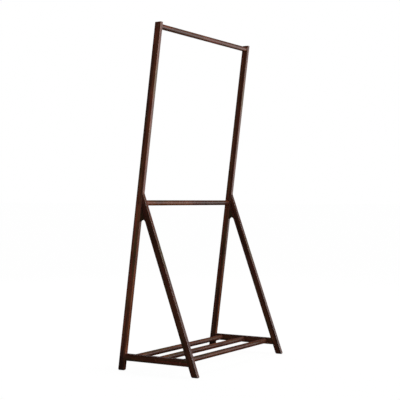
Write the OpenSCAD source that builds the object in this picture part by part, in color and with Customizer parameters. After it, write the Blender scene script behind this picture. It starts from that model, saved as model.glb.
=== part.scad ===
// Coat stand: two leaning A-frames, a hanging rail, a cross rail and a low shelf of round rails.
// The stand faces -Y. Its origin is on the floor, under the middle of the footprint.

/* [Stand] */
// Width over the outer faces of the two side frames
stand_w = 900; // [700:10:1200]
// Depth of the footprint, from the back of a post's foot to the front of a leg's foot
stand_d = 460; // [400:5:560]
// Height from the floor to the tops of the posts
stand_h = 1700; // [1500:10:1900]

/* [Side frames] */
// Thickness of the posts, legs and side rails, measured across the stand
frame_t = 20; // [18:1:28]
// Width of a post, square to its length
post_w = 34; // [32:1:44]
// Width of a leg, square to its length
leg_w = 34; // [30:1:44]
// Height at which the middle line of a leg meets the middle line of its post
knee_z = 870; // [780:5:960]
// Radius of the rounded crotch between a post and the head of its leg
crotch_r = 17; // [10:1:24]
// Blunt edge that the leg's head keeps where the crotch runs out on the post
crotch_nib = 1; // [0.6:0.1:2]
// Radius that eases the long edges of posts, legs and side rails
edge_r = 2; // [1:0.5:3]
// Chamfer round the cut ends of posts and legs
end_chamfer = 1.2; // [0.5:0.1:2]

/* [Side rails] */
// Height of a side rail's section
side_rail_h = 34; // [32:1:44]
// Height of a side rail's middle line above the floor
side_rail_z = 66; // [50:1:120]
// Length of the tenons on the ends of a side rail
side_tenon_l = 15; // [10:1:18]
// Thickness of those tenons, across the stand
side_tenon_t = 8; // [6:0.5:10]
// Shoulder left above and below those tenons
side_tenon_shoulder = 5; // [3:1:8]

/* [Knee tenons] */
// Length of a loose knee tenon, along the post
knee_tenon_l = 40; // [24:1:48]
// Thickness of a knee tenon, across the stand
knee_tenon_t = 8; // [6:0.5:10]
// Depth that a knee tenon enters the post, and the same in the leg's head
knee_tenon_depth = 15; // [8:1:18]
// Wood left between the rounded crotch and a knee tenon
knee_tenon_cover = 8; // [5:1:14]

/* [Round rails] */
// Diameter of every round rail
rail_d = 26.5; // [20:0.5:28]
// Depth that a rail's end is let into the side frame
rail_seat = 3; // [2:0.5:5]
// Distance from the tops of the posts down to the top rail's axis
top_rail_drop = 20; // [18:1:30]
// Distance from the knee's height down to the mid rail's axis
mid_rail_drop = 45; // [38:1:50]
// Distance from the post, or from the leg, to the axis of the nearest shelf rail
shelf_end_gap = 40; // [25:1:70]

/* [Rail fixings] */
// Diameter of the bolts' shanks
bolt_d = 6; // [5:0.5:8]
// Length of a bolt under its head
bolt_l = 28; // [22:1:36]
// Diameter of a bolt's head
head_d = 10; // [9.5:0.5:13]
// Height of a bolt's head
head_h = 6; // [5:0.5:7]
// Width across flats of the hexagon socket in a bolt's head
socket_w = 5; // [4:0.5:6]
// Depth of that socket
socket_depth = 3; // [2:0.5:4]
// Thickness of the wooden plug that covers a bolt's head
plug_t = 3.5; // [2.5:0.5:4.5]
// Diameter of a threaded insert over its barbs
insert_d = 11; // [10:0.5:13]
// Length of a threaded insert
insert_l = 18; // [12:1:20]
// Number of barbs on an insert
insert_barbs = 5; // [3:1:7]
// Depth of one barb
barb_depth = 0.8; // [0.4:0.1:1]

/* [Foot pads] */
// Thickness of a foot pad
pad_t = 3; // [2:0.5:6]
// How far a pad stays inside the outline of its foot
pad_inset = 2; // [1:0.5:4]

/* [Clearances] */
// Clearance on every side of a tenon, a rail's end, a plug or an insert
fit_gap = 0.1; // [0.05:0.05:0.3]
// Clearance left beyond the end of a tenon or a bolt
end_gap = 1; // [0.5:0.5:2]
// Clearance round a bolt's shank and head
bolt_gap = 0.2; // [0.1:0.1:0.5]
// Clearance between a bolt's shank and its insert
thread_gap = 0.05; // [0.02:0.01:0.1]

/* [Hidden] */
$fn = 64;

wood = [0.25, 0.15, 0.11];
rail_wood = [0.36, 0.25, 0.20];
plug_wood = [0.32, 0.20, 0.15];
steel = [0.62, 0.62, 0.64];
brass = [0.70, 0.58, 0.33];
felt = [0.13, 0.13, 0.14];

// Angle from the vertical of a bar of width w whose outer edge starts a distance run from a point
// that its middle line passes at a height rise
function lean(run, rise, w) = acos(w / 2 / norm([run, rise])) - atan(rise / run);
// Point where the line through p along u meets the line through q along v, in the side view
function meet(p, u, q, v) = p + u * cross(q - p, v) / cross(u, v);
function unit(v) = v / norm(v);
// The two points that replace the corner p, between its neighbours a and b, when it is chamfered
function chamfered(a, p, b) = [p + end_chamfer * unit(a - p), p + end_chamfer * unit(b - p)];

// Side view: points are [y, z]. A post leans to -Y as it rises, and its leg leans to +Y.
top_rail_z = stand_h - top_rail_drop;
post_lean = lean(stand_d / 2, top_rail_z - pad_t, post_w);
post_up = [-sin(post_lean), cos(post_lean)];
post_out = [-cos(post_lean), -sin(post_lean)];
post_foot = [stand_d / 2 - post_w / 2 / cos(post_lean), pad_t];
post_front = post_foot + post_out * post_w / 2;
function post_at(z) = meet(post_foot, post_up, [0, z], [1, 0]);
function post_front_at(z) = meet(post_front, post_up, [0, z], [1, 0]);

knee = post_at(knee_z);
leg_lean = lean(stand_d / 2 + knee.x, knee_z - pad_t, leg_w);
leg_up = [sin(leg_lean), cos(leg_lean)];
leg_in = [cos(leg_lean), -sin(leg_lean)];
leg_foot = [leg_w / 2 / cos(leg_lean) - stand_d / 2, pad_t];
leg_front = leg_foot - leg_in * leg_w / 2;
leg_back = leg_foot + leg_in * leg_w / 2;
function leg_back_at(z) = meet(leg_back, leg_up, [0, z], [1, 0]);

// The knee: the leg's head fills the space between post and leg down to the rounded crotch
knee_angle = post_lean + leg_lean;
knee_tip = meet(post_front, post_up, leg_front, leg_up);
knee_apex = meet(post_front, post_up, leg_back, leg_up);
crotch = knee_apex - unit(post_up + leg_up) * crotch_r / sin(knee_angle / 2);
crotch_on_post = crotch - post_out * crotch_r;
crotch_on_leg = crotch - leg_in * crotch_r;
nib_rise = sqrt(2 * crotch_r * crotch_nib - crotch_nib * crotch_nib);
flush_rise = sqrt(2 * crotch_r * edge_r + edge_r * edge_r);
// How far the rounded crotch is cut into the leg's back face, so that the cut ends on a clean line
crotch_bite = 0.02;
// Where the flat side of the leg's head begins, behind the eased front edge of the leg
head_tip = meet(post_front, post_up, leg_front + leg_in * edge_r, leg_up);
// Heights along the post, from its foot
crotch_s = (crotch - post_foot) * post_up;
head_tip_s = (head_tip - post_foot) * post_up;
knee_tenon_s = crotch_s + crotch_r + knee_tenon_cover + knee_tenon_l / 2;
// Heights between which post and leg keep square edges, so that the side rail's shoulders seat
flush_low = side_rail_z - side_rail_h / 2 + edge_r;
flush_high = side_rail_z + side_rail_h / 2 - edge_r;

// Axes of the round rails in the side view
top_rail_at = post_at(top_rail_z);
mid_rail_at = post_at(knee_z - mid_rail_drop);
shelf_back_y = post_front_at(side_rail_z).x - shelf_end_gap;
shelf_front_y = leg_back_at(side_rail_z).x + shelf_end_gap;
shelf_at = [for (k = [0, 0.5, 1]) [shelf_back_y + k * (shelf_front_y - shelf_back_y), side_rail_z]];
rail_axes = concat([top_rail_at, mid_rail_at], shelf_at);

// A side frame's own frame has x = 0 in the middle of its thickness, and its outer face at -x
frame_x = (stand_w - frame_t) / 2;
rail_end_x = stand_w / 2 - frame_t + rail_seat;
head_bore_d = head_d + 2 * bolt_gap;
head_bore_depth = plug_t + head_h;
// Length of the bolt that lies in the rail
bolt_reach = bolt_l - (frame_t - head_bore_depth - rail_seat);
insert_bore_depth = max(bolt_reach, insert_l) + end_gap;
cut_over = 1;

// Places for children
module on_left() translate([-frame_x, 0, 0]) children();
module on_right() mirror([1, 0, 0]) on_left() children();
module in_post() translate([0, post_foot.x, post_foot.y]) rotate([post_lean, 0, 0]) children();
module in_leg() translate([0, leg_foot.x, leg_foot.y]) rotate([-leg_lean, 0, 0]) children();
// Children lie along +X, from the outer face of the left frame into the stand
module at_left_axis(axis) translate([-stand_w / 2, axis.x, axis.y]) rotate([0, 90, 0]) children();
module at_all_rail_ends() {
    for (axis = rail_axes) {
        at_left_axis(axis) children();
        mirror([1, 0, 0]) at_left_axis(axis) children();
    }
}
// A flat outline in [y, z], given a thickness across the stand
module side_plate(t) rotate([90, 0, 90]) linear_extrude(t, center = true) children();

// Section of a bar with eased edges: t across the stand, w square to it
module eased_section(t, w) {
    square([t, w - 2 * edge_r], center = true);
    square([t - 2 * edge_r, w], center = true);
    for (x = [-1, 1], y = [-1, 1])
        translate([x * (t / 2 - edge_r), y * (w / 2 - edge_r)]) circle(edge_r);
}

// A long bar with eased edges, up the z axis from below its foot
module long_bar(w) {
    translate([0, 0, -stand_d]) linear_extrude(stand_h + 2 * stand_d) eased_section(frame_t, w);
}

// A strip that squares off the eased edge of a bar between two heights along it, so that the
// bar lies flush with a piece that butts on its face at y = side * w / 2
module flush_strip(w, side, from, to) {
    translate([-frame_t / 2, side * (w / 2 - edge_r / 2) - edge_r / 2, from])
        cube([frame_t, edge_r, to - from]);
}

// All that lies deeper than reach behind the front face of the post, or the back face of the leg
space = [2 * frame_t, 2 * stand_d, stand_h + 2 * stand_d];
module inside_post(reach) {
    in_post() translate([-frame_t, reach - post_w / 2, -stand_d]) cube(space);
}
module inside_leg(reach) {
    in_leg() translate([-frame_t, leg_w / 2 - reach - space.y, -stand_d]) cube(space);
}

// Front view of a frame member: square sides, chamfered at the foot and at a height top
module end_chamfers(top) {
    c = end_chamfer;
    x = frame_t / 2;
    outline = [[-x, pad_t + c], [c - x, pad_t], [x - c, pad_t], [x, pad_t + c],
        [x, top - c], [x - c, top], [c - x, top], [-x, top - c]];
    rotate([90, 0, 0]) linear_extrude(2 * stand_d, center = true) polygon(outline);
}

// Cut for one rail's end in a side frame: seat for the rail, bolt hole and bore for the head
module rail_joint_cut(axis) {
    translate([-frame_t / 2, axis.x, axis.y]) rotate([0, 90, 0]) {
        translate([0, 0, frame_t - rail_seat])
            cylinder(h = rail_seat + cut_over, d = rail_d + 2 * fit_gap);
        cylinder(h = frame_t, d = bolt_d + 2 * bolt_gap);
        translate([0, 0, -cut_over])
            cylinder(h = head_bore_depth + cut_over, d = head_bore_d);
    }
}

// Loose tenon with round edges, centred on the post's front face; gap makes it the mortise
module knee_tenon(gap, over) {
    l = knee_tenon_l + 2 * gap;
    t = knee_tenon_t + 2 * gap;
    depth = knee_tenon_depth + over;
    in_post() translate([0, -post_w / 2 - depth, knee_tenon_s])
        rotate([-90, 0, 0]) linear_extrude(2 * depth) {
            square([t, l - t], center = true);
            for (side = [-1, 1]) translate([0, side * (l - t) / 2]) circle(d = t);
        }
}

// Bar that makes the tenons of a side rail, past the faces of post and leg by reach
module side_tenons(gap, reach) {
    h = side_rail_h - 2 * side_tenon_shoulder + 2 * gap;
    t = side_tenon_t + 2 * gap;
    difference() {
        translate([-t / 2, -stand_d / 2, side_rail_z - h / 2]) cube([t, stand_d, h]);
        inside_post(reach);
        inside_leg(reach);
    }
}

// Post: one straight bar with eased edges, cut level at foot and top, with a mortise for the
// knee tenon, one for the side rail, and joints for the top and mid rails
module post() {
    foot_back = [stand_d / 2, pad_t];
    foot_front = post_front_at(pad_t);
    top_front = post_front_at(stand_h);
    top_back = top_front + foot_back - foot_front;
    outline = concat(chamfered(top_back, foot_back, foot_front),
        chamfered(foot_back, foot_front, top_front),
        chamfered(foot_front, top_front, top_back),
        chamfered(top_front, top_back, foot_back));
    difference() {
        intersection() {
            in_post() {
                long_bar(post_w);
                flush_strip(post_w, -1, crotch_s + flush_rise, head_tip_s);
                flush_strip(post_w, -1, (post_front_at(flush_low) - post_foot) * post_up,
                    (post_front_at(flush_high) - post_foot) * post_up);
            }
            side_plate(frame_t) polygon(outline);
            end_chamfers(stand_h);
        }
        rail_joint_cut(top_rail_at);
        rail_joint_cut(mid_rail_at);
        knee_tenon(fit_gap, end_gap);
        side_tenons(fit_gap, side_tenon_l + end_gap);
    }
}

// Hole through a side frame whose two rims are eased like the long edges
module eased_hole(centre, r) {
    translate([0, centre.x, centre.y]) rotate([0, 90, 0]) rotate_extrude() difference() {
        translate([0, -frame_t / 2 - cut_over]) square([r + edge_r, frame_t + 2 * cut_over]);
        translate([r, edge_r - frame_t / 2]) square([2 * edge_r, frame_t - 2 * edge_r]);
        for (face = [-1, 1])
            translate([r + edge_r, face * (frame_t / 2 - edge_r)]) circle(edge_r);
    }
}

// Leg: a bar with eased edges, with a head that widens into the knee, butts on the post's front
// face and ends below in the rounded crotch
module leg() {
    foot_front = [-stand_d / 2, pad_t];
    foot_back = leg_back_at(pad_t);
    nib = crotch_on_post + post_up * nib_rise;
    inside_crotch = nib + post_out * crotch_r / 2;
    outline = concat(chamfered(foot_back, foot_front, knee_tip),
        [knee_tip, nib, inside_crotch, crotch_on_leg],
        chamfered(crotch_on_leg, foot_back, foot_front));
    head = [head_tip, nib, inside_crotch, crotch_on_leg,
        crotch_on_leg - leg_in * (leg_w - edge_r)];
    difference() {
        union() {
            intersection() {
                in_leg() {
                    long_bar(leg_w);
                    flush_strip(leg_w, 1, (leg_back_at(flush_low) - leg_foot) * leg_up,
                        (leg_back_at(flush_high) - leg_foot) * leg_up);
                }
                side_plate(frame_t) polygon(outline);
                end_chamfers(stand_h);
            }
            side_plate(frame_t) polygon(head);
        }
        eased_hole(crotch, crotch_r + crotch_bite);
        knee_tenon(fit_gap, end_gap);
        side_tenons(fit_gap, side_tenon_l + end_gap);
    }
}

// Side rail: a level bar with eased edges and a tenon at each end, its shoulders cut to the lean
// of the post and of the leg, with joints for the three shelf rails
module side_rail() {
    difference() {
        union() {
            difference() {
                translate([0, 0, side_rail_z]) rotate([90, 0, 0])
                    linear_extrude(stand_d, center = true) eased_section(frame_t, side_rail_h);
                inside_post(0);
                inside_leg(0);
            }
            side_tenons(0, side_tenon_l);
        }
        for (axis = shelf_at) rail_joint_cut(axis);
    }
}

// Round rail: a turned bar let into both side frames, bored at each end for its insert
module round_rail(axis) {
    translate([0, axis.x, axis.y]) rotate([0, 90, 0]) difference() {
        cylinder(h = 2 * rail_end_x, d = rail_d, center = true);
        for (end = [0, 1]) mirror([0, 0, end]) translate([0, 0, rail_end_x - insert_bore_depth])
            cylinder(h = insert_bore_depth + cut_over, d = insert_d + 2 * fit_gap);
    }
}

// Cap-head bolt with a hexagon socket, its head at the bottom of the bore in the frame
module rail_bolt() {
    tip = bolt_d / 6;
    translate([0, 0, plug_t]) difference() {
        union() {
            cylinder(h = head_h, d = head_d);
            cylinder(h = head_h + bolt_l - tip, d = bolt_d);
            translate([0, 0, head_h + bolt_l - tip])
                cylinder(h = tip, d1 = bolt_d, d2 = bolt_d - 2 * tip);
        }
        translate([0, 0, -cut_over])
            cylinder(h = socket_depth + cut_over, d = socket_w / cos(30), $fn = 6);
    }
}

// Threaded insert: a sleeve with ring barbs that hold it in the end of a rail
module rail_insert() {
    barb_l = insert_l / insert_barbs;
    rings = [for (k = [0:insert_barbs - 1]) each
        [[insert_d / 2, k * barb_l], [insert_d / 2 - barb_depth, (k + 1) * barb_l]]];
    outline = concat([[bolt_d / 2 + thread_gap, 0]], rings, [[bolt_d / 2 + thread_gap, insert_l]]);
    translate([0, 0, frame_t - rail_seat]) rotate_extrude() polygon(outline);
}

// Wooden plug, flush with the frame's outer face, with a fine chamfer round its rim
module rail_plug() {
    rim = plug_t / 10;
    d = head_bore_d - 2 * fit_gap;
    cylinder(h = rim, d1 = d - 2 * rim, d2 = d);
    translate([0, 0, rim]) cylinder(h = plug_t - rim, d = d);
}

// Thin pad under a foot, a little inside the foot's outline, with rounded corners
module pad(foot, w, bar_lean) {
    x = frame_t - 2 * pad_inset;
    y = w / cos(bar_lean) - 2 * pad_inset;
    r = pad_inset;
    translate([0, foot.x, 0]) linear_extrude(pad_t) {
        square([x, y - 2 * r], center = true);
        square([x - 2 * r, y], center = true);
        for (i = [-1, 1], j = [-1, 1])
            translate([i * (x / 2 - r), j * (y / 2 - r)]) circle(r);
    }
}
module back_pad() pad(post_foot, post_w, post_lean);
module front_pad() pad(leg_foot, leg_w, leg_lean);

module left_post() color(wood) on_left() post();
module right_post() color(wood) on_right() post();
module left_leg() color(wood) on_left() leg();
module right_leg() color(wood) on_right() leg();
module left_side_rail() color(wood) on_left() side_rail();
module right_side_rail() color(wood) on_right() side_rail();
module left_knee_tenon() color(rail_wood) on_left() knee_tenon(0, 0);
module right_knee_tenon() color(rail_wood) on_right() knee_tenon(0, 0);
module top_rail() color(rail_wood) round_rail(top_rail_at);
module mid_rail() color(rail_wood) round_rail(mid_rail_at);
module shelf_rail_back() color(rail_wood) round_rail(shelf_at[0]);
module shelf_rail_middle() color(rail_wood) round_rail(shelf_at[1]);
module shelf_rail_front() color(rail_wood) round_rail(shelf_at[2]);
module rail_bolts() color(steel) at_all_rail_ends() rail_bolt();
module rail_inserts() color(brass) at_all_rail_ends() rail_insert();
module rail_plugs() color(plug_wood) at_all_rail_ends() rail_plug();
module pad_left_back() color(felt) on_left() back_pad();
module pad_left_front() color(felt) on_left() front_pad();
module pad_right_back() color(felt) on_right() back_pad();
module pad_right_front() color(felt) on_right() front_pad();

left_post();
right_post();
left_leg();
right_leg();
left_side_rail();
right_side_rail();
left_knee_tenon();
right_knee_tenon();
top_rail();
mid_rail();
shelf_rail_back();
shelf_rail_middle();
shelf_rail_front();
rail_bolts();
rail_inserts();
rail_plugs();
pad_left_back();
pad_left_front();
pad_right_back();
pad_right_front();
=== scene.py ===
from math import atan2, pi, radians, sin, sqrt

import bmesh
import bpy
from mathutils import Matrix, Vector


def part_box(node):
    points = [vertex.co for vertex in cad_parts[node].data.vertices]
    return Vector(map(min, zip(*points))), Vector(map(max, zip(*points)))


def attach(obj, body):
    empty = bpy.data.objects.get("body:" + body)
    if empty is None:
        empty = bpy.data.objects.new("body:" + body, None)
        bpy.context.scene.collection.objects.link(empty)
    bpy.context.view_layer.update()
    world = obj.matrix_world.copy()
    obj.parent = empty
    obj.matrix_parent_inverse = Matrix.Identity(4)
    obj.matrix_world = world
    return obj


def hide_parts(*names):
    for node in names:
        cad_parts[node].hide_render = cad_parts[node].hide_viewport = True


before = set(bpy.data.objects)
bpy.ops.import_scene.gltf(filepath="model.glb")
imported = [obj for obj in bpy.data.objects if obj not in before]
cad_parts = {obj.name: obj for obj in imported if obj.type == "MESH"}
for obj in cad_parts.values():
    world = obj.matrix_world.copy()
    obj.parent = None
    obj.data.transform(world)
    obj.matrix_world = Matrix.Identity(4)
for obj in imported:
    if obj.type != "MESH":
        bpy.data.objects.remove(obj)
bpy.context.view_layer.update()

bpy.context.scene.view_settings.view_transform = "Standard"

# Camera: it stands level, 0.84 m up and about 5 m away, in front of the stand and well to its
# left, so that the left frame shows its outer face and the front edges of its timbers.
camera_at = (-4.4597, -2.6635, 0.8400)
camera_turn = radians(-58.866)
camera_roll = radians(-0.122)
bpy.ops.object.camera_add(location=camera_at, rotation=(pi / 2, camera_roll, camera_turn))
camera = bpy.context.object
camera.data.sensor_width = 36.0
camera.data.lens = 89.78
bpy.context.scene.camera = camera


# Floor and studio light: a pale floor in a white room whose right side is open and bright, as the
# sheen of the wood shows. The light comes softly from the front, and weakly from the back.
bright_side = Vector((0.86, -0.51, 0.0))


def put(tree, kind, inputs=None, **settings):
    """Puts a node in a tree. inputs gives a socket, by name or number, a value or an output."""
    node = tree.nodes.new(kind)
    for name, value in settings.items():
        setattr(node, name, value)
    for socket, value in (inputs or {}).items():
        if isinstance(value, bpy.types.NodeSocket):
            tree.links.new(value, node.inputs[socket])
        else:
            node.inputs[socket].default_value = value
    return node.outputs


def sums(tree, operation, *values):
    """The output of a Math node that works on the values."""
    return put(tree, "ShaderNodeMath", dict(enumerate(values)), operation=operation)[0]


def measure(tree, operation, *values):
    """The number that a Vector Math node measures on the values."""
    return put(tree, "ShaderNodeVectorMath", dict(enumerate(values)),
               operation=operation)["Value"]


def window(tree, value, low, high, start=0.0, end=1.0):
    """Smooth step of a value, from start where it is low to end where it is high."""
    return put(tree, "ShaderNodeMapRange", {
        "Value": value, "From Min": low, "From Max": high, "To Min": start, "To Max": end},
        interpolation_type="SMOOTHSTEP")[0]


def mirrored(tree):
    """1 for the rays that see the room in a reflection or through glass."""
    rays = put(tree, "ShaderNodeLightPath")
    return sums(tree, "ADD", rays["Is Glossy Ray"], rays["Is Transmission Ray"])


def seen_white(tree, open_side):
    """Share of white for the rays that look at the room: all of it straight, and in a reflection
    or through glass as much as open_side gives."""
    straight = put(tree, "ShaderNodeLightPath")["Is Camera Ray"]
    return sums(tree, "ADD", straight, sums(tree, "MULTIPLY", mirrored(tree), open_side))


def light_the_room():
    """World: an even fill, and white to the camera and, low on the bright side, in reflections."""
    fill_level = 0.28
    dim_side, side_from, side_to = 0.01, 0.40, 0.95
    dim_top, low_from, low_to = 0.13, 0.04, 0.32
    world = bpy.data.worlds.new("studio_room")
    world.use_nodes = True
    tree = world.node_tree
    tree.nodes.clear()
    direction = put(tree, "ShaderNodeTexCoord")["Generated"]
    facing = measure(tree, "DOT_PRODUCT", direction, bright_side)
    open_side = window(tree, facing, side_from, side_to, start=dim_side)
    height = put(tree, "ShaderNodeSeparateXYZ", {0: direction})["Z"]
    low_band = window(tree, height, low_from, low_to, start=1.0, end=dim_top)
    bright = sums(tree, "MULTIPLY", open_side, low_band)
    even = sums(tree, "MULTIPLY", put(tree, "ShaderNodeLightPath")["Is Diffuse Ray"], fill_level)
    level = sums(tree, "ADD", seen_white(tree, bright), even)
    glow = put(tree, "ShaderNodeBackground", {"Color": (1.0, 1.0, 1.0, 1.0), "Strength": level})[0]
    put(tree, "ShaderNodeOutputWorld", {"Surface": glow})
    bpy.context.scene.world = world


def lay_the_floor():
    """Floor: a pale matt sheet that shows nearly white, with the stand's shadow faint on it."""
    side = 400.0
    glow_share, glow_level = 0.75, 1.265
    pale, dim = 0.42, 0.02
    bright_from, bright_to = 2.5, 6.0
    bpy.ops.mesh.primitive_plane_add(size=side, location=(0.0, 0.0, 0.0))
    floor = bpy.context.object
    floor.name = "studio_floor"
    paint = bpy.data.materials.new("floor_white")
    paint.use_nodes = True
    tree = paint.node_tree
    tree.nodes.clear()
    place = put(tree, "ShaderNodeTexCoord")["Object"]
    reach = measure(tree, "DOT_PRODUCT", place, bright_side)
    open_side = window(tree, reach, bright_from, bright_to)
    share = sums(tree, "MULTIPLY", seen_white(tree, open_side), glow_share)
    grey = put(tree, "ShaderNodeMapRange", {
        "Value": mirrored(tree), "To Min": pale, "To Max": dim})[0]
    matt = put(tree, "ShaderNodeBsdfDiffuse", {"Color": grey})[0]
    glow = put(tree, "ShaderNodeEmission", {"Strength": glow_level})[0]
    mixed = put(tree, "ShaderNodeMixShader", {0: share, 1: matt, 2: glow})[0]
    put(tree, "ShaderNodeOutputMaterial", {"Surface": mixed})
    floor.data.materials.append(paint)


def hang_lamp(kind, name, direction, distance=12.0):
    """A lamp that looks at the middle of the stand from a direction."""
    target = Vector((0.0, 0.0, 0.8))
    away = Vector(direction).normalized()
    turn = away.to_track_quat("Z", "Y").to_euler()
    bpy.ops.object.light_add(type=kind, location=target + away * distance, rotation=turn)
    lamp = bpy.context.object
    lamp.name = name
    return lamp.data


light_the_room()
lay_the_floor()
key = hang_lamp("SUN", "front_window", (0.22, -0.93, 0.17))
key.energy = 2.4
key.angle = radians(45.0)
back = hang_lamp("AREA", "back_window", (0.45, 0.70, 0.62), distance=4.5)
back.shape = "SQUARE"
back.size = 3.0
back.energy = 50.0


# Walnut: every timber, rail and plug is cut from it. The figure is solid, so it runs over the
# edges and shows rings on the cut ends. Its groups are built once, with Z along the grain.
def group_of(name, inputs, outputs):
    """A shader node group with the named sockets; returns it with its input and output nodes."""
    kinds = {"value": "NodeSocketFloat", "vector": "NodeSocketVector", "colour": "NodeSocketColor"}
    tree = bpy.data.node_groups.new(name, "ShaderNodeTree")
    for way, sockets in (("INPUT", inputs), ("OUTPUT", outputs)):
        for socket, kind in sockets.items():
            tree.interface.new_socket(name=socket, in_out=way, socket_type=kinds[kind])
    return tree, tree.nodes.new("NodeGroupInput").outputs, tree.nodes.new("NodeGroupOutput").inputs


def vectors(tree, operation, *values):
    """The vector output of a Vector Math node that works on the values."""
    return put(tree, "ShaderNodeVectorMath", dict(enumerate(values)), operation=operation)[0]


def stretched_noise(tree, place, over, along, detail=2.0):
    """Noise with features of 1/over metres over the grain and 1/along metres with it."""
    drawn = vectors(tree, "MULTIPLY", place, (over, over, along))
    return put(tree, "ShaderNodeTexNoise", {"Vector": drawn, "Scale": 1.0, "Detail": detail})


def spread(tree, noise, least, most, margin=0.25):
    """Spreads noise, which seldom comes within the margin of 0 or 1, from least to most."""
    return put(tree, "ShaderNodeMapRange", {
        "Value": noise, "From Min": margin, "From Max": 1.0 - margin, "To Min": least,
        "To Max": most})[0]


def less(tree, mask, share):
    """1, less a share of a mask."""
    return sums(tree, "SUBTRACT", 1.0, sums(tree, "MULTIPLY", mask, share))


def blend(tree, share, first, second):
    """Mixes two colours by a share."""
    return put(tree, "ShaderNodeMix", {0: share, 6: first, 7: second}, data_type="RGBA")[2]


def build_walnut_figure():
    """Colour, roughness and relief of walnut, for places measured from the piece's middle."""
    ring_gap, sway = 0.0046, 0.012
    streak_share, late_share, pore_share, end_share = 0.8, 0.25, 0.5, 0.4
    rougher_pores, rougher_ends = 0.18, 0.15
    fibre_height, late_depth = 0.35, 0.12
    dark_brown = (0.092, 0.027, 0.012, 1.0)
    brown = (0.182, 0.054, 0.020, 1.0)
    pale_brown = (0.300, 0.100, 0.040, 1.0)
    reddish = (0.240, 0.046, 0.022, 1.0)
    greenish = (0.130, 0.075, 0.024, 1.0)
    purplish = (0.160, 0.060, 0.045, 1.0)
    streak_brown = (0.045, 0.013, 0.006, 1.0)
    late_brown = (0.040, 0.011, 0.005, 1.0)
    tree, given, result = group_of(
        "walnut_figure",
        {"Place": "vector", "Pith": "vector", "Along": "vector", "Tone": "value"},
        {"Colour": "colour", "Roughness": "value", "Relief": "value"})

    # The rings are shells round the pith, which wanders to and fro along the grain.
    wander = stretched_noise(tree, given["Place"], over=7.0, along=1.5)["Color"]
    to_and_fro = vectors(tree, "SUBTRACT", wander, (0.5, 0.5, 0.5))
    shift = vectors(tree, "MULTIPLY", to_and_fro, (sway, sway, 0.0))
    grown = vectors(tree, "ADD", given["Place"], shift)
    from_pith = vectors(tree, "SUBTRACT", grown, given["Pith"])
    radius = measure(tree, "LENGTH", vectors(tree, "MULTIPLY", from_pith, (1.0, 1.0, 0.0)))
    ring = sums(tree, "DIVIDE", radius, ring_gap)
    height = put(tree, "ShaderNodeSeparateXYZ", {0: from_pith})["Z"]
    shell = put(tree, "ShaderNodeCombineXYZ", {"X": ring, "Z": height})[0]

    # Bands and dark streaks follow the rings, and fibres, pores and hues follow the grain.
    band = stretched_noise(tree, shell, over=0.75, along=1.3, detail=3.0)[0]
    dark = put(tree, "ShaderNodeSeparateColor", {
        0: stretched_noise(tree, shell, over=0.42, along=0.8)["Color"]})["Green"]
    dark_streak = window(tree, dark, 0.52, 0.66)
    late = window(tree, sums(tree, "FRACT", ring), 0.55, 0.98)
    fibre = stretched_noise(tree, grown, over=1100.0, along=16.0)[0]
    vessels = stretched_noise(tree, grown, over=1500.0, along=60.0, detail=1.0)[0]
    pore = window(tree, vessels, 0.62, 0.72)
    hues = put(tree, "ShaderNodeSeparateColor", {
        0: stretched_noise(tree, grown, over=75.0, along=4.0)["Color"]})
    cloud = stretched_noise(tree, given["Place"], over=24.0, along=9.0, detail=3.0)[0]
    facing = measure(tree, "DOT_PRODUCT", put(tree, "ShaderNodeTexCoord")["Normal"],
                     given["Along"])
    end_grain = window(tree, sums(tree, "ABSOLUTE", facing), 0.80, 0.96)

    ramp = tree.nodes.new("ShaderNodeValToRGB")
    tree.links.new(band, ramp.inputs[0])
    stops = ramp.color_ramp.elements
    stops[0].position, stops[0].color = 0.36, dark_brown
    stops[1].position, stops[1].color = 0.66, pale_brown
    stops.new(0.50).color = brown
    colour = ramp.outputs[0]
    for mask, tinge in (
            (window(tree, hues["Red"], 0.50, 0.64), reddish),
            (window(tree, hues["Blue"], 0.53, 0.66), greenish),
            (window(tree, hues["Green"], 0.55, 0.66), purplish),
            (sums(tree, "MULTIPLY", dark_streak, streak_share), streak_brown),
            (sums(tree, "MULTIPLY", late, late_share), late_brown)):
        colour = blend(tree, mask, colour, tinge)
    shade = spread(tree, fibre, 0.78, 1.22)
    for factor in (spread(tree, cloud, 0.72, 1.28, margin=0.3), less(tree, pore, pore_share),
                   less(tree, end_grain, end_share), given["Tone"]):
        shade = sums(tree, "MULTIPLY", shade, factor)
    toned = put(tree, "ShaderNodeVectorMath", {0: colour, "Scale": shade}, operation="SCALE")[0]
    tree.links.new(toned, result["Colour"])

    rough = spread(tree, fibre, 0.18, 0.30)
    rough = sums(tree, "ADD", rough, sums(tree, "MULTIPLY", pore, rougher_pores))
    rough = sums(tree, "ADD", rough, sums(tree, "MULTIPLY", end_grain, rougher_ends))
    tree.links.new(rough, result["Roughness"])
    relief = sums(tree, "SUBTRACT", sums(tree, "MULTIPLY", fibre, fibre_height), pore)
    relief = sums(tree, "SUBTRACT", relief, sums(tree, "MULTIPLY", late, late_depth))
    tree.links.new(relief, result["Relief"])
    return tree


def build_worn_edges():
    """Mask, 1 along the eased long edges of a bar of the given half section, worn off unevenly."""
    tree, given, result = group_of(
        "worn_edges", {"Place": "vector", "Half": "vector", "Width": "value"}, {"Wear": "value"})
    inset = vectors(tree, "SUBTRACT", given["Half"], vectors(tree, "ABSOLUTE", given["Place"]))
    away = put(tree, "ShaderNodeSeparateXYZ", {0: vectors(tree, "ABSOLUTE", inset)})
    reach = sums(tree, "MAXIMUM", away["X"], away["Y"])
    uneven = stretched_noise(tree, given["Place"], over=160.0, along=22.0, detail=3.0)[0]
    strip = sums(tree, "SUBTRACT", 1.0, sums(tree, "DIVIDE", reach, given["Width"]))
    wear = window(tree, sums(tree, "ADD", strip, uneven), 0.75, 1.45)
    tree.links.new(wear, result["Wear"])
    return tree


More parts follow.
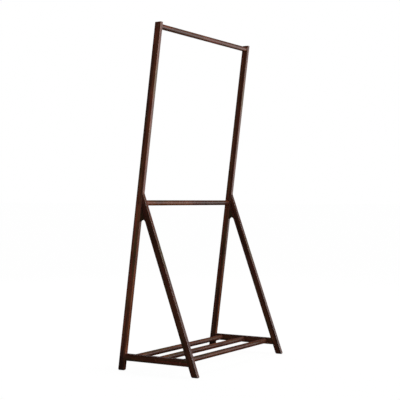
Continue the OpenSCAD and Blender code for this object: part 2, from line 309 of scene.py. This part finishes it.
walnut_figure = build_walnut_figure()
worn_edges = build_worn_edges()


def walnut(name, middle, turn, along, pith, half=(1.0, 1.0, 0.0), tone=1.0, foot_shade=None):
    """Satin oiled walnut for one piece: turn lays Z along its grain, and pith is where the heart
    of the tree would be, measured from the piece's middle. half is half the section of a bar,
    whose long edges are worn, and left wide for a round piece, which has none. The last argument
    gives the places along the grain between which painted shade turns the wood from dark to its
    own tone."""
    worn_width, worn_share, foot_shade_share = 0.0035, 0.3, 0.35
    paler = (0.42 * tone, 0.17 * tone, 0.09 * tone, 1.0)
    wood = bpy.data.materials.new(name)
    wood.use_nodes = True
    tree = wood.node_tree
    tree.nodes.clear()
    place = put(tree, "ShaderNodeMapping", {
        "Vector": put(tree, "ShaderNodeTexCoord")["Object"], "Location": middle,
        "Rotation": turn}, vector_type="TEXTURE")[0]
    figure = put(tree, "ShaderNodeGroup", {
        "Place": place, "Pith": pith, "Along": along, "Tone": tone}, node_tree=walnut_figure)
    wear = put(tree, "ShaderNodeGroup", {
        "Place": place, "Half": half, "Width": worn_width}, node_tree=worn_edges)["Wear"]
    colour = blend(tree, sums(tree, "MULTIPLY", wear, worn_share), figure["Colour"], paler)
    # Painted shade near the floor: the colour is scaled down towards the piece's foot.
    if foot_shade:
        rise = put(tree, "ShaderNodeSeparateXYZ", {0: place})["Z"]
        painted_shade_scale = window(tree, rise, foot_shade[0], foot_shade[1], start=foot_shade_share)
        colour = put(tree, "ShaderNodeVectorMath", {0: colour, "Scale": painted_shade_scale},
                     operation="SCALE")[0]
    relief = put(tree, "ShaderNodeBump", {"Strength": 0.35, "Distance": 0.0004,
                                          "Height": figure["Relief"]})[0]
    oiled = put(tree, "ShaderNodeBsdfPrincipled", {
        "Base Color": colour, "Roughness": figure["Roughness"], "Specular IOR Level": 0.95,
        "Normal": relief})[0]
    put(tree, "ShaderNodeOutputMaterial", {"Surface": oiled})
    return wood


# Posts: two straight bars of walnut that lean over the footprint, cut level, their feet darkened
# with painted shade near the floor. The long edges are eased, except where the leg's head and the
# side rail lie flush on the front face.
# Each is bored for two rails and their bolts, and mortised for the knee tenon and the side rail.

# Places nearer than this are one place, and ways whose cosine is over this are one way.
near = 1e-4
same_way = 0.9999


def middle_of(node):
    """Middle of a CAD node's box."""
    low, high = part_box(node)
    return (low + high) / 2


def meeting(point, way, other_point, other_way):
    """Where two lines cross in the side view."""
    return point + way * ((other_point - point).cross(other_way).x / way.cross(other_way).x)


def blank(name, at, turn, size):
    """A sawn block at its place, left open for shaping."""
    bpy.ops.object.select_all(action="DESELECT")
    bpy.ops.mesh.primitive_cube_add(size=1.0, location=at, rotation=turn, scale=size)
    bpy.ops.object.transform_apply(location=True, rotation=True, scale=True)
    piece = bpy.context.object
    piece.name = piece.data.name = name
    bpy.ops.object.mode_set(mode="EDIT")
    return piece


def pick(kind, wanted):
    """Selects the edges or faces of the open piece that are wanted, and nothing else."""
    bpy.ops.mesh.select_mode(type=kind)
    bpy.ops.mesh.select_all(action="DESELECT")
    shape = bmesh.from_edit_mesh(bpy.context.object.data)
    for part in {"EDGE": shape.edges, "FACE": shape.faces}[kind]:
        if wanted(part):
            part.select_set(True)
    bmesh.update_edit_mesh(bpy.context.object.data)


def centre(part):
    """Middle of an edge or a face."""
    return sum((corner.co for corner in part.verts), Vector()) / len(part.verts)


def runs(edge, way):
    """True where an edge runs along a direction."""
    return abs((edge.verts[1].co - edge.verts[0].co).normalized().dot(way)) > same_way


def saw(point, waste):
    """Saws the open piece through a point and takes off the side that waste points to."""
    bpy.ops.mesh.select_all(action="SELECT")
    bpy.ops.mesh.bisect(plane_co=point, plane_no=waste, use_fill=True, clear_outer=True)


def score(point, way):
    """Marks a line round the open piece, square to a direction."""
    bpy.ops.mesh.select_all(action="SELECT")
    bpy.ops.mesh.bisect(plane_co=point, plane_no=way)


def ease(radius, steps=4):
    """Rounds the picked edges."""
    bpy.ops.mesh.bevel(offset=radius, segments=steps, profile=0.5, clamp_overlap=False)


def soften_ends(level):
    """Takes the sharp edge off a level cut end."""
    end_chamfer = 0.0012
    pick("EDGE", lambda edge: all(abs(corner.co.z - level) < near for corner in edge.verts))
    ease(end_chamfer, steps=2)


def lay_down():
    """Closes the open piece."""
    bpy.ops.object.mode_set(mode="OBJECT")
    bpy.ops.object.select_all(action="DESELECT")


def take_up(piece):
    """Makes a closed piece the only one that is selected."""
    bpy.ops.object.select_all(action="DESELECT")
    piece.select_set(True)
    bpy.context.view_layer.objects.active = piece


def fit(piece, block, operation="DIFFERENCE"):
    """Cuts a block's shape out of a piece, or glues the block on. The block is used up."""
    take_up(piece)
    fitting = piece.modifiers.new("fitting", "BOOLEAN")
    fitting.object = block
    fitting.operation = operation
    fitting.solver = "EXACT"
    bpy.ops.object.modifier_apply(modifier=fitting.name)
    bpy.data.objects.remove(block)


def rod(name, axis, radius, start, stop, sides=64):
    """A closed round bar along an axis across the stand, between two distances from the middle."""
    bpy.ops.object.select_all(action="DESELECT")
    bpy.ops.mesh.primitive_cylinder_add(
        vertices=sides, radius=radius, depth=abs(stop - start),
        location=((start + stop) / 2, axis.y, axis.z), rotation=(0.0, pi / 2, 0.0))
    bpy.ops.object.transform_apply(location=True, rotation=True, scale=True)
    piece = bpy.context.object
    piece.name = piece.data.name = name
    return piece


def drill(piece, axis, radius, start, stop):
    """Drills across the stand on an axis, between two distances from the middle."""
    fit(piece, rod("drill", axis, radius, start, stop))


def bore_for_rail(piece, axis):
    """Bores the left frame for a rail: a seat inside, a hole for the bolt, a bore for its head."""
    seat_radius, hole_radius, head_radius = 0.01335, 0.0032, 0.0052
    seat_depth, head_depth, over = 0.003, 0.0095, 0.002
    drill(piece, axis, seat_radius, inner_face - seat_depth, inner_face + over)
    drill(piece, axis, hole_radius, outer_face + head_depth - over, inner_face)
    drill(piece, axis, head_radius, outer_face - over, outer_face + head_depth)


def other_hand(piece, name):
    """The same piece for the right frame, made the other hand."""
    take_up(piece)
    bpy.ops.object.duplicate()
    twin = bpy.context.object
    twin.name = twin.data.name = name
    twin.scale.x = -1.0
    bpy.ops.object.transform_apply(location=True, rotation=True, scale=True)
    bpy.ops.object.mode_set(mode="EDIT")
    bpy.ops.mesh.select_all(action="SELECT")
    bpy.ops.mesh.normals_make_consistent(inside=False)
    bpy.ops.object.mode_set(mode="OBJECT")
    return twin


def finish(piece, node, material):
    """Smooths the shading of the eased edges, gives the piece its material and puts it in its
    node's place."""
    sharpest_round = radians(40.0)
    take_up(piece)
    bpy.ops.object.shade_smooth_by_angle(angle=sharpest_round)
    even = piece.modifiers.new("even_faces", "WEIGHTED_NORMAL")
    even.keep_sharp = True
    bpy.ops.object.modifier_apply(modifier=even.name)
    piece.data.materials.clear()
    piece.data.materials.append(material)
    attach(piece, "root")
    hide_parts(node)


outer_face, inner_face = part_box("left_side_rail")[0].x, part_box("left_side_rail")[1].x
frame_thickness = inner_face - outer_face
frame_x = (outer_face + inner_face) / 2
across = Vector((1.0, 0.0, 0.0))
up = Vector((0.0, 0.0, 1.0))
edge_radius = 0.002
tenon_gap, tenon_end_gap = 0.0001, 0.001

post_width = 0.034
foot_level, top_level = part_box("left_post")[0].z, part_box("left_post")[1].z
top_axis, mid_axis = middle_of("top_rail"), middle_of("mid_rail")
post_up = (top_axis - mid_axis).normalized()
post_forward = Vector((0.0, -post_up.z, post_up.y))
post_lean = atan2(-post_up.y, post_up.z)
post_foot = mid_axis + post_up * ((foot_level - mid_axis.z) / post_up.z)
post_front = post_foot + post_forward * post_width / 2
post_length = (top_level - foot_level) / post_up.z

leg_width = 0.034
knee_height = 0.870
knee = mid_axis + post_up * ((knee_height - mid_axis.z) / post_up.z)
leg_foot = Vector((0.0, middle_of("pad_left_front").y, foot_level))
leg_up = (knee - leg_foot).normalized()
leg_back_way = Vector((0.0, leg_up.z, -leg_up.y))
leg_lean = atan2(leg_up.y, leg_up.z)
leg_back = leg_foot + leg_back_way * leg_width / 2
leg_front = leg_foot - leg_back_way * leg_width / 2

crotch_radius = 0.017
crotch_nib = 0.001
knee_apex = meeting(post_front, post_up, leg_back, leg_up)
knee_tip = meeting(post_front, post_up, leg_front, leg_up)
crotch = knee_apex - (post_up + leg_up).normalized() * (
    crotch_radius / sin((post_lean + leg_lean) / 2))

rail_middle = middle_of("left_side_rail").z
rail_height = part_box("left_side_rail")[1].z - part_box("left_side_rail")[0].z
side_tenon_thickness, side_tenon_reach, side_tenon_height = 0.008, 0.015, 0.024
knee_tenon_thickness, knee_tenon_reach, knee_tenon_length = 0.008, 0.015, 0.040
knee_tenon_middle = middle_of("left_knee_tenon")


def knee_mortise():
    """The left knee tenon with its clearance, a block with round edges, to cut its mortises."""
    nearly_half = 0.499
    thickness = knee_tenon_thickness + 2 * tenon_gap
    block = blank("knee_mortise", knee_tenon_middle, (post_lean, 0.0, 0.0), (
        thickness, 2 * (knee_tenon_reach + tenon_end_gap), knee_tenon_length + 2 * tenon_gap))
    pick("EDGE", lambda edge: runs(edge, post_forward))
    ease(nearly_half * thickness, steps=8)
    lay_down()
    return block


def side_tenons(gap, end_gap):
    """A bar that makes the tenons of the left side rail: it ends inside the post and the leg."""
    depth = side_tenon_reach + end_gap
    bar = blank("side_tenons", (frame_x, 0.0, rail_middle), (0.0, 0.0, 0.0), (
        side_tenon_thickness + 2 * gap, 2 * post_foot.y, side_tenon_height + 2 * gap))
    saw(post_front - post_forward * depth, -post_forward)
    saw(leg_back - leg_back_way * depth, -leg_back_way)
    lay_down()
    return bar


def eased_for_rail(edge, face_point, way):
    """True for a long edge of a post or leg, but for the stretch where the side rail is flush."""
    on_face = abs((centre(edge) - face_point).cross(way).x) < near
    beside_rail = abs(centre(edge).z - rail_middle) < rail_height / 2
    return runs(edge, way) and not (on_face and beside_rail)


def score_for_rail(face_point, way):
    """Marks where the easing stops beside the side rail, on a post or leg that leans along way."""
    level = Vector((0.0, 1.0, 0.0))
    for height in (rail_middle - rail_height / 2, rail_middle + rail_height / 2):
        score(meeting(face_point, way, Vector((0.0, 0.0, height)), level), way)


def model_post():
    """The left post, from a blank to a bored and mortised bar."""
    spare = 0.02
    middle = post_foot + post_up * post_length / 2
    post = blank("left_post_timber", (frame_x, middle.y, middle.z), (post_lean, 0.0, 0.0),
                 (frame_thickness, post_width, post_length + 2 * spare))
    saw((0.0, 0.0, foot_level), -up)
    saw((0.0, 0.0, top_level), up)
    flush_rise = sqrt(2 * crotch_radius * edge_radius + edge_radius ** 2)
    flush_from = meeting(post_front, post_up, crotch, post_forward) + post_up * (
        flush_rise - edge_radius)
    flush_to = knee_tip
    score(flush_from, post_up)
    score(flush_to, post_up)
    score_for_rail(post_front, post_up)

    def eased(edge):
        """True for a long edge, but for the stretches where the leg's head and rail are flush."""
        on_front = abs((centre(edge) - post_front).cross(post_up).x) < near
        at_knee = flush_from.z < centre(edge).z < flush_to.z
        return eased_for_rail(edge, post_front, post_up) and not (on_front and at_knee)

    pick("EDGE", eased)
    ease(edge_radius)
    soften_ends(foot_level)
    soften_ends(top_level)
    lay_down()
    fit(post, knee_mortise())
    fit(post, side_tenons(tenon_gap, tenon_end_gap))
    bore_for_rail(post, top_axis)
    bore_for_rail(post, mid_axis)
    return post


left_post = model_post()
right_post = other_hand(left_post, "right_post_timber")
timber_half = (frame_thickness / 2, post_width / 2, 0.0)
# Painted shade on the posts' feet: full within 35 mm of the floor, fading out by 110 mm.
shade_full_to, shade_gone_from = 0.035, 0.110
foot_place = (foot_level - mid_axis.z) / post_up.z
painted_foot_shade = (foot_place + shade_full_to, foot_place + shade_gone_from)
for post, node, x, pith, tone in (
        (left_post, "left_post", frame_x, (0.045, 0.020, 4.57), 1.15),
        (right_post, "right_post", -frame_x, (-0.040, 0.030, 7.59), 0.88)):
    finish(post, node, walnut(
        node + "_walnut", (x, mid_axis.y, mid_axis.z), (post_lean, 0.0, 0.0), post_up, pith,
        timber_half, tone, painted_foot_shade))


# Legs: two bars of walnut that lean the other way. Each is bandsawn with a wider head, which is
# cut to butt on its post's front face and ends below in a crotch of 17 mm radius. The rims of the
# crotch are eased like the long edges, and the head is mortised for the knee tenon.
def model_leg():
    """The left leg: a blank up to the crotch, with the head drawn on above it."""
    spare, into_post = 0.02, 0.008
    arc_steps, flat_within = 18, radians(0.5)
    on_leg = crotch - leg_back_way * crotch_radius
    shank = (on_leg - leg_foot).dot(leg_up)
    middle = leg_foot + leg_up * (shank - spare) / 2
    leg = blank("left_leg_timber", (frame_x, middle.y, middle.z), (-leg_lean, 0.0, 0.0),
                (frame_thickness, leg_width, shank + spare))
    saw((0.0, 0.0, foot_level), -up)

    nib_rise = sqrt(2 * crotch_radius * crotch_nib - crotch_nib ** 2)
    nib = crotch + post_forward * (crotch_nib - crotch_radius) + post_up * nib_rise
    shoulder = leg_front + leg_up * shank
    past_tip = knee_tip + leg_up * into_post * 2

    def crosses(edge, point):
        """True for an edge across the stand through a point of the side view."""
        away = centre(edge) - point
        return runs(edge, across) and abs(away.y) < near and abs(away.z) < near

    def on_crotch(edge):
        """True for an edge of either rim of the crotch."""
        return not runs(edge, across) and all(
            abs(Vector((0.0, *(corner.co - crotch).yz)).length - crotch_radius) < near
            for corner in edge.verts)

    # The crotch's arc is spun on. It stops at a nib, where the head is still 1 mm thick, and nib
    # and front are drawn out past the post's face and the tip before the sides are closed.
    pick("EDGE", lambda edge: crosses(edge, on_leg))
    turn = (on_leg - crotch).angle(nib - crotch)
    bpy.ops.mesh.spin(steps=arc_steps, angle=turn, center=crotch, axis=across)
    pick("EDGE", lambda edge: crosses(edge, nib))
    bpy.ops.mesh.extrude_edges_move(
        TRANSFORM_OT_translate={"value": -post_forward * into_post})
    pick("EDGE", lambda edge: crosses(edge, shoulder))
    bpy.ops.mesh.extrude_edges_move(TRANSFORM_OT_translate={"value": past_tip - shoulder})
    pick("EDGE", lambda edge: crosses(edge, past_tip)
         or crosses(edge, nib - post_forward * into_post))
    bpy.ops.mesh.edge_face_add()
    pick("FACE", lambda face: face.normal.dot(leg_up) > same_way
         and abs((centre(face) - shoulder).dot(leg_up)) < near)
    bpy.ops.mesh.delete(type="ONLY_FACE")
    for side in (outer_face, inner_face):
        pick("EDGE", lambda edge: edge.is_boundary and all(
            abs(corner.co.x - side) < near for corner in edge.verts))
        bpy.ops.mesh.edge_face_add()
    bpy.ops.mesh.select_all(action="SELECT")
    bpy.ops.mesh.normals_make_consistent(inside=False)
    bpy.ops.mesh.dissolve_limited(angle_limit=flat_within)

    score_for_rail(leg_back, leg_up)
    pick("EDGE", lambda edge: eased_for_rail(edge, leg_back, leg_up) or on_crotch(edge))
    ease(edge_radius)
    saw(post_front, -post_forward)
    soften_ends(foot_level)
    lay_down()
    fit(leg, knee_mortise())
    fit(leg, side_tenons(tenon_gap, tenon_end_gap))
    return leg


left_leg = model_leg()
right_leg = other_hand(left_leg, "right_leg_timber")
for leg, node, x, pith, tone in (
        (left_leg, "left_leg", frame_x, (0.050, -0.015, 2.93), 0.59),
        (right_leg, "right_leg", -frame_x, (-0.035, 0.040, 8.89), 0.66)):
    finish(leg, node, walnut(
        node + "_walnut", (x, leg_foot.y, leg_foot.z), (-leg_lean, 0.0, 0.0), leg_up, pith,
        timber_half, tone))


# Knee tenons: two loose tenons of bare beech with rounded edges. Each is glued half into the post
# and half into the leg's head, with its grain across the joint, and shows only on the bench.
def beech():
    """Planed beech: pale pinkish wood with short dark flecks along the grain."""
    pinkish, pale = (0.42, 0.27, 0.16, 1.0), (0.56, 0.38, 0.24, 1.0)
    fleck_brown, fleck_share = (0.22, 0.12, 0.06, 1.0), 0.6
    wood = bpy.data.materials.new("planed_beech")
    wood.use_nodes = True
    tree = wood.node_tree
    tree.nodes.clear()
    place = put(tree, "ShaderNodeMapping", {
        "Vector": put(tree, "ShaderNodeTexCoord")["Object"], "Location": knee_tenon_middle,
        "Rotation": (post_lean + pi / 2, 0.0, 0.0)}, vector_type="TEXTURE")[0]
    streak = stretched_noise(tree, place, over=420.0, along=30.0)[0]
    rays = stretched_noise(tree, place, over=1900.0, along=420.0, detail=1.0)[0]
    fleck = window(tree, rays, 0.60, 0.70)
    colour = blend(tree, window(tree, streak, 0.35, 0.65), pinkish, pale)
    flecked = blend(tree, sums(tree, "MULTIPLY", fleck, fleck_share), colour, fleck_brown)
    rough = put(tree, "ShaderNodeMapRange", {"Value": streak, "To Min": 0.50, "To Max": 0.68})[0]
    relief = put(tree, "ShaderNodeBump", {
        "Strength": 0.4, "Distance": 0.0002, "Height": sums(tree, "SUBTRACT", streak, fleck)})[0]
    bare = put(tree, "ShaderNodeBsdfPrincipled", {
        "Base Color": flecked, "Roughness": rough, "Normal": relief})[0]
    put(tree, "ShaderNodeOutputMaterial", {"Surface": bare})
    return wood


def dress(node, material):
    """Gives a CAD node that stays as it is its own material."""
    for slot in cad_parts[node].material_slots:
        slot.material = material


planed_beech = beech()
for node in ("left_knee_tenon", "right_knee_tenon"):
    dress(node, planed_beech)


# Side rails: two level bars of walnut between post and leg, flush with both. The shoulders are
# sawn to the lean of each, a tenon stands out of either end, and each has three rail joints.
def model_side_rail():
    """The left side rail, from a blank to a tenoned and bored bar."""
    rail = blank("left_side_rail_timber", (frame_x, 0.0, rail_middle), (0.0, 0.0, 0.0),
                 (frame_thickness, 2 * post_foot.y, rail_height))
    pick("EDGE", lambda edge: runs(edge, Vector((0.0, 1.0, 0.0))))
    ease(edge_radius)
    saw(post_front, -post_forward)
    saw(leg_back, -leg_back_way)
    lay_down()
    fit(rail, side_tenons(0.0, 0.0), "UNION")
    for node in ("shelf_rail_back", "shelf_rail_middle", "shelf_rail_front"):
        bore_for_rail(rail, middle_of(node))
    return rail


left_side_rail = model_side_rail()
right_side_rail = other_hand(left_side_rail, "right_side_rail_timber")
side_rail_half = (frame_thickness / 2, rail_height / 2, 0.0)
for rail, node, x, pith, tone in (
        (left_side_rail, "left_side_rail", frame_x, (0.042, 0.028, 4.87), 0.60),
        (right_side_rail, "right_side_rail", -frame_x, (-0.046, -0.020, 1.90), 0.54)):
    finish(rail, node, walnut(
        node + "_walnut", (x, 0.0, rail_middle), (-pi / 2, 0.0, 0.0), (0.0, 1.0, 0.0), pith,
        side_rail_half, tone))


# Round rails: five turned bars of walnut, alike. Their ends are let into the side frames and
# bored for the threaded inserts that the bolts pull on.
def model_round_rail():
    """The top rail, with a bored and eased end on either side."""
    bore_radius, bore_depth, rim_radius = 0.0056, 0.0215, 0.0004
    sharp = radians(30.0)
    low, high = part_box("top_rail")
    half_length, radius = high.x, (high.z - low.z) / 2
    rail = rod("top_rail_rod", top_axis, radius, -half_length, half_length, sides=96)
    bpy.ops.object.mode_set(mode="EDIT")
    for side in (-1.0, 1.0):
        end = side * half_length
        pick("FACE", lambda face: abs(face.normal.x) > same_way
             and abs(centre(face).x - end) < near)
        bpy.ops.mesh.inset(thickness=radius - bore_radius)
        bpy.ops.mesh.extrude_region_move(
            TRANSFORM_OT_translate={"value": (-side * bore_depth, 0.0, 0.0)})
    pick("EDGE", lambda edge: abs(edge.calc_face_angle(0.0)) > sharp and all(
        abs(abs(corner.co.x) - half_length) < near for corner in edge.verts))
    ease(rim_radius, steps=2)
    lay_down()
    return rail


def laid_on(piece, name, move):
    """A copy of a piece, moved to its own place."""
    take_up(piece)
    bpy.ops.object.duplicate()
    copy = bpy.context.object
    copy.name = copy.data.name = name
    bpy.ops.transform.translate(value=move)
    bpy.ops.object.transform_apply(location=True, rotation=True, scale=True)
    return copy


top_rail_rod = model_round_rail()
round_rails = [(top_rail_rod, "top_rail", (0.031, 0.012, 2.64), 0.95)]
for node, pith, tone in (("mid_rail", (-0.020, 0.034, 1.51), 0.80),
                         ("shelf_rail_back", (0.027, -0.024, 1.70), 0.80),
                         ("shelf_rail_middle", (-0.033, -0.010, 2.91), 0.83),
                         ("shelf_rail_front", (0.012, 0.037, 3.71), 0.84)):
    copy = laid_on(top_rail_rod, node + "_rod", middle_of(node) - top_axis)
    round_rails.append((copy, node, pith, tone))
for rail, node, pith, tone in round_rails:
    finish(rail, node, walnut(
        node + "_walnut", middle_of(node), (0.0, pi / 2, 0.0), across, pith, tone=tone))


# Bolts and inserts: a zinc plated socket bolt pulls each rail end into its seat, and turns in a
# brass sleeve with barbs that is pressed into the end grain. Both are turned on a lathe.
def turned_metal(name, pale, dark, roughness, ring_gap):
    """Metal with fine rings from the turning tool round the rails' direction, and dull spots."""
    rougher_spots = 0.18
    metal = bpy.data.materials.new(name)
    metal.use_nodes = True
    tree = metal.node_tree
    tree.nodes.clear()
    place = put(tree, "ShaderNodeTexCoord")["Object"]
    dull = put(tree, "ShaderNodeTexNoise", {"Vector": place, "Scale": 380.0, "Detail": 4.0})[0]
    spots = window(tree, dull, 0.40, 0.66)
    way_along = put(tree, "ShaderNodeSeparateXYZ", {0: place})["X"]
    turned = sums(tree, "PINGPONG", way_along, ring_gap / 2)
    rings = sums(tree, "DIVIDE", turned, ring_gap / 2)
    rough = put(tree, "ShaderNodeMapRange", {
        "Value": spots, "To Min": roughness, "To Max": roughness + rougher_spots})[0]
    relief = put(tree, "ShaderNodeBump", {
        "Strength": 0.5, "Distance": 0.00005, "Height": sums(tree, "ADD", rings, dull)})[0]
    shine = put(tree, "ShaderNodeBsdfPrincipled", {
        "Base Color": blend(tree, spots, pale, dark), "Roughness": rough, "Metallic": 1.0,
        "Normal": relief})[0]
    put(tree, "ShaderNodeOutputMaterial", {"Surface": shine})
    return metal


dress("rail_bolts", turned_metal(
    "zinc_plate", (0.66, 0.68, 0.72, 1.0), (0.56, 0.55, 0.50, 1.0), 0.26, 0.0004))
dress("rail_inserts", turned_metal(
    "turned_brass", (0.80, 0.59, 0.29, 1.0), (0.58, 0.40, 0.18, 1.0), 0.24, 0.0005))


# Plugs: ten short walnut buttons that close the bores over the bolts' heads. They are glued in
# with the grain of the frame and sanded nearly flush, so their middles just stand level with it.
def model_plug(axis):
    """One plug of the left frame: a disc with an eased rim and a slightly crowned face."""
    plug_radius, plug_depth, rim_radius = 0.0051, 0.0035, 0.0003
    crown, crown_steps, crown_step = 0.0003, 2, 0.0016
    plug = rod("plug", axis, plug_radius, outer_face + crown, outer_face + plug_depth, sides=40)
    bpy.ops.object.mode_set(mode="EDIT")
    for step in range(crown_steps):
        pick("FACE", lambda face: face.normal.x < -same_way and len(face.verts) > 4)
        bpy.ops.mesh.inset(thickness=crown_step)
        bpy.ops.transform.translate(value=(-crown / crown_steps, 0.0, 0.0))
    pick("EDGE", lambda edge: all(
        Vector((0.0, *(corner.co - axis).yz)).length > plug_radius - near
        and abs(corner.co.x - outer_face - crown) < near for corner in edge.verts))
    ease(rim_radius, steps=3)
    lay_down()
    return plug


plug_axes = [top_axis, mid_axis] + [
    middle_of(node) for node in ("shelf_rail_back", "shelf_rail_middle", "shelf_rail_front")]
left_plugs = [model_plug(axis) for axis in plug_axes]
right_plugs = [other_hand(plug, "plug") for plug in left_plugs]
take_up(left_plugs[0])
for plug in left_plugs + right_plugs:
    plug.select_set(True)
bpy.ops.object.join()
walnut_plugs = bpy.context.object
walnut_plugs.name = walnut_plugs.data.name = "walnut_plugs"
plank_middle, plank_pith = (0.0, 0.0, 0.4), (0.30, 0.21, 0.0)
finish(walnut_plugs, "rail_plugs", walnut(
    "plug_walnut", plank_middle, (0.0, 0.0, 0.0), up, plank_pith, tone=1.15))


# Foot pads: four pieces of dark pressed felt, punched with round corners and stuck under the feet
# a little inside the timber, so that the frames stand clear of the floor.
def felt():
    """Dark grey pressed felt: mottled wool with short fibres that lie all ways."""
    charcoal, dark_grey = (0.030, 0.030, 0.033, 1.0), (0.075, 0.074, 0.078, 1.0)
    fibre_grey = (0.15, 0.15, 0.155, 1.0)
    cloth = bpy.data.materials.new("pressed_felt")
    cloth.use_nodes = True
    tree = cloth.node_tree
    tree.nodes.clear()
    place = put(tree, "ShaderNodeTexCoord")["Object"]
    mottle = put(tree, "ShaderNodeTexNoise", {"Vector": place, "Scale": 420.0, "Detail": 4.0})[0]
    fibres = put(tree, "ShaderNodeTexNoise", {
        "Vector": place, "Scale": 2600.0, "Detail": 3.0, "Distortion": 1.2})[0]
    grey = blend(tree, window(tree, mottle, 0.35, 0.65), charcoal, dark_grey)
    felted = blend(tree, window(tree, fibres, 0.60, 0.74), grey, fibre_grey)
    relief = put(tree, "ShaderNodeBump", {"Strength": 0.8, "Distance": 0.0005,
                                          "Height": sums(tree, "ADD", fibres, mottle)})[0]
    wool = put(tree, "ShaderNodeBsdfPrincipled", {
        "Base Color": felted, "Roughness": 0.95, "Specular IOR Level": 0.2,
        "Sheen Weight": 0.4, "Sheen Roughness": 0.6, "Normal": relief})[0]
    put(tree, "ShaderNodeOutputMaterial", {"Surface": wool})
    return cloth


def model_pad(node):
    """One foot pad: a punched piece of felt with softened rims."""
    corner_radius, rim_radius = 0.002, 0.0005
    low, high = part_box(node)
    pad = blank(node + "_felt", (low + high) / 2, (0.0, 0.0, 0.0), high - low)
    pick("EDGE", lambda edge: runs(edge, up))
    ease(corner_radius, steps=6)
    pick("EDGE", lambda edge: all(abs(corner.co.z - low.z) < near for corner in edge.verts)
         or all(abs(corner.co.z - high.z) < near for corner in edge.verts))
    ease(rim_radius, steps=3)
    lay_down()
    return pad


pressed_felt = felt()
for node in ("pad_left_back", "pad_left_front", "pad_right_back", "pad_right_front"):
    finish(model_pad(node), node, pressed_felt)
